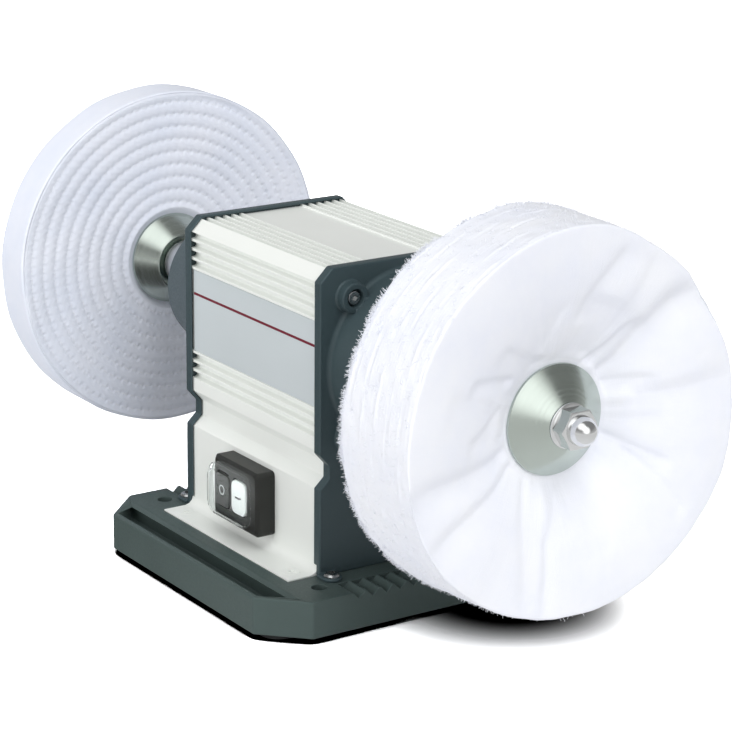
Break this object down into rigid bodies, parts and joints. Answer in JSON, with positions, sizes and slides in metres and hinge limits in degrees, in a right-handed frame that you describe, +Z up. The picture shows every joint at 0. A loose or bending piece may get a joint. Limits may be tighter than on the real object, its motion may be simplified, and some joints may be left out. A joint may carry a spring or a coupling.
{
  "type": "bench polishing machine",
  "caption": "Bench polishing machine: a finned motor housing on a cast base, with a cloth buff clamped at each end of its spindle and a push-button switch in front.",
  "frame": {"origin": "on the bench under the middle of the machine", "axes": "+X along the spindle towards the loose buff, -Y towards the operator and the switch, +Z up"},
  "size_m": [0.452, 0.2, 0.2355],
  "materials": {
    "cast_grey": "blue-grey enamel on cast iron",
    "plate_grey": "blue-grey enamel on cast aluminium",
    "white_coat": "satin white coat on an aluminium extrusion",
    "label_film": "satin printed film",
    "rubber": "moulded black rubber",
    "screw_steel": "plated steel",
    "switch_black": "moulded black plastic",
    "clear_cover": "clear soft cover",
    "button_white": "moulded white plastic",
    "spring_steel": "bright spring steel",
    "lamination_steel": "oiled lamination stack",
    "copper_wire": "varnished copper wire",
    "lead_rubber": "sleeved leads",
    "zinc_plate": "bright zinc plate with a faint yellow tint",
    "terminal_white": "moulded plastic",
    "gland_black": "moulded nylon",
    "bearing_steel": "ground bearing steel",
    "shaft_steel": "turned and ground steel",
    "sleeve_steel": "turned steel",
    "chrome_nut": "bright chrome",
    "loose_cotton": "loose cotton discs",
    "sewn_cotton": "cotton discs sewn in rings"
  },
  "bodies": {
    "machine": {"base_casting": "cast_grey", "rubber_foot_1": "rubber", "rubber_foot_2": "rubber", "rubber_foot_3": "rubber", "rubber_foot_4": "rubber", "motor_housing": "white_coat", "front_label": "label_film", "end_plate_right": "plate_grey", "end_plate_left": "plate_grey", "tie_bolt_1": "screw_steel", "tie_bolt_2": "screw_steel", "tie_bolt_3": "screw_steel", "tie_bolt_4": "screw_steel", "plate_foot_screw_1": "screw_steel", "plate_foot_screw_2": "screw_steel", "plate_foot_screw_3": "screw_steel", "plate_foot_screw_4": "screw_steel", "flange_screw_1": "screw_steel", "flange_screw_2": "screw_steel", "flange_screw_3": "screw_steel", "flange_screw_4": "screw_steel", "switch_body": "switch_black", "contact_block": "switch_black", "switch_cover": "clear_cover", "on_button_spring": "spring_steel", "off_button_spring": "spring_steel", "stator_core": "lamination_steel", "winding_right": "copper_wire", "winding_left": "copper_wire", "motor_leads": "lead_rubber", "run_capacitor": "switch_black", "capacitor_clip": "zinc_plate", "clip_screw_1": "screw_steel", "clip_screw_2": "screw_steel", "terminal_block": "terminal_white", "cable_gland": "gland_black", "gland_locknut": "gland_black", "bearing_outer_ring_right": "bearing_steel", "bearing_outer_ring_left": "bearing_steel", "wave_washer": "spring_steel"},
    "spindle": {"spindle_shaft": "shaft_steel", "rotor_core": "lamination_steel", "bearing_inner_ring_right": "bearing_steel", "bearing_inner_ring_left": "bearing_steel", "spacer_sleeve_right": "sleeve_steel", "spacer_sleeve_left": "sleeve_steel", "inner_flange_right": "zinc_plate", "inner_flange_left": "zinc_plate", "outer_flange_right": "zinc_plate", "outer_flange_left": "zinc_plate", "cap_nut_right": "chrome_nut", "cap_nut_left": "chrome_nut", "loose_buff": "loose_cotton", "sewn_buff": "sewn_cotton"},
    "ball_cage_right": {"ball_cage_right": "bearing_steel"},
    "ball_cage_left": {"ball_cage_left": "bearing_steel"},
    "on_button": {"on_button": "button_white"},
    "off_button": {"off_button": "switch_black"}
  },
  "joints": [
    {"name": "spindle_spin", "type": "hinge", "parent": "machine", "child": "spindle", "pos_m": [0, 0, 0.1355], "axis": [1, 0, 0], "continuous": true},
    {"name": "ball_cage_right_spin", "type": "hinge", "parent": "machine", "child": "ball_cage_right", "pos_m": [0.1068, 0, 0.1355], "axis": [1, 0, 0], "continuous": true},
    {"name": "ball_cage_left_spin", "type": "hinge", "parent": "machine", "child": "ball_cage_left", "pos_m": [-0.1068, 0, 0.1355], "axis": [1, 0, 0], "continuous": true},
    {"name": "on_button_press", "type": "slide", "parent": "machine", "child": "on_button", "axis": [0, 1, 0], "range_m": [0, 0.0025], "stiffness_N_per_m": 500, "springref_m": -0.002, "deforming": ["on_button_spring"]},
    {"name": "off_button_press", "type": "slide", "parent": "machine", "child": "off_button", "axis": [0, 1, 0], "range_m": [0, 0.0025], "stiffness_N_per_m": 500, "springref_m": -0.002, "deforming": ["off_button_spring"]}
  ],
  "couplings": [
    {"joint": "ball_cage_right_spin", "follows": "spindle_spin", "ratio": 0.396},
    {"joint": "ball_cage_left_spin", "follows": "spindle_spin", "ratio": 0.396}
  ]
}
